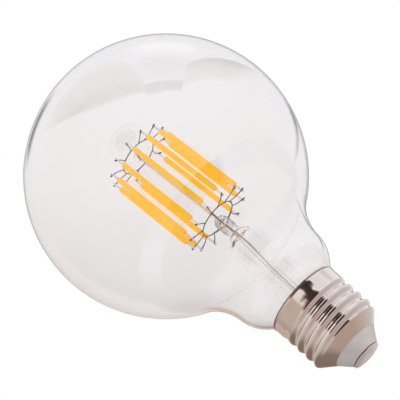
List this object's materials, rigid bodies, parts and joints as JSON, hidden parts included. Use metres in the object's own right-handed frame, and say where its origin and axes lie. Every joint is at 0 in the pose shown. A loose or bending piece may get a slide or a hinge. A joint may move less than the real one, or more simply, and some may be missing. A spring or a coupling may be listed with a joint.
{
  "type": "globe bulb",
  "caption": "Clear round light bulb: a glass stem holds a ring of upright filament strips between wire rings, above a threaded metal screw cap.",
  "frame": {"origin": "centre of the centre contact's outer face, on the bulb's axis", "axes": "+Z along the bulb's axis from the contact to the top of the globe; -Y faces the camera's side of the picture, and the empty filament place is at the back, near +Y"},
  "size_m": [0.095, 0.095, 0.1391],
  "materials": {
    "clear_glass": "clear, polished",
    "frame_wire": "dull drawn wire, oxidised dark",
    "lead_wire": "dull drawn wire",
    "filament_strip": "stamped strip, satin",
    "phosphor_coat": "yellow phosphor in clear silicone, matt",
    "cap_metal": "bright nickel plate",
    "insulator_plastic": "off-white, satin",
    "contact_metal": "nickel-plated, satin",
    "cement": "baked cement, matt",
    "board": "white solder mask",
    "capacitor_sleeve": "shrink sleeve",
    "black_package": "moulded package",
    "resistor_body": "lacquered",
    "hookup_wire": "tinned wire"
  },
  "bodies": {
    "root": {"glass_envelope": "clear_glass", "stem_glass": "clear_glass", "exhaust_tube": "clear_glass", "centre_post": "clear_glass", "near_ring_frame": "frame_wire", "far_ring_frame": "frame_wire", "near_lead": "lead_wire", "far_lead": "lead_wire", "filament_01_strip": "filament_strip", "filament_02_strip": "filament_strip", "filament_03_strip": "filament_strip", "filament_04_strip": "filament_strip", "filament_05_strip": "filament_strip", "filament_06_strip": "filament_strip", "filament_07_strip": "filament_strip", "filament_08_strip": "filament_strip", "filament_09_strip": "filament_strip", "filament_10_strip": "filament_strip", "filament_11_strip": "filament_strip", "filament_01_coat": "phosphor_coat", "filament_02_coat": "phosphor_coat", "filament_03_coat": "phosphor_coat", "filament_04_coat": "phosphor_coat", "filament_05_coat": "phosphor_coat", "filament_06_coat": "phosphor_coat", "filament_07_coat": "phosphor_coat", "filament_08_coat": "phosphor_coat", "filament_09_coat": "phosphor_coat", "filament_10_coat": "phosphor_coat", "filament_11_coat": "phosphor_coat", "cap_shell": "cap_metal", "cap_insulator": "insulator_plastic", "centre_contact": "contact_metal", "basing_cement": "cement", "driver_board": "board", "smoothing_capacitor": "capacitor_sleeve", "driver_chip": "black_package", "bridge_rectifier": "black_package", "fusible_resistor": "resistor_body", "contact_wire": "hookup_wire", "shell_wire": "hookup_wire"}
  },
  "joints": []
}
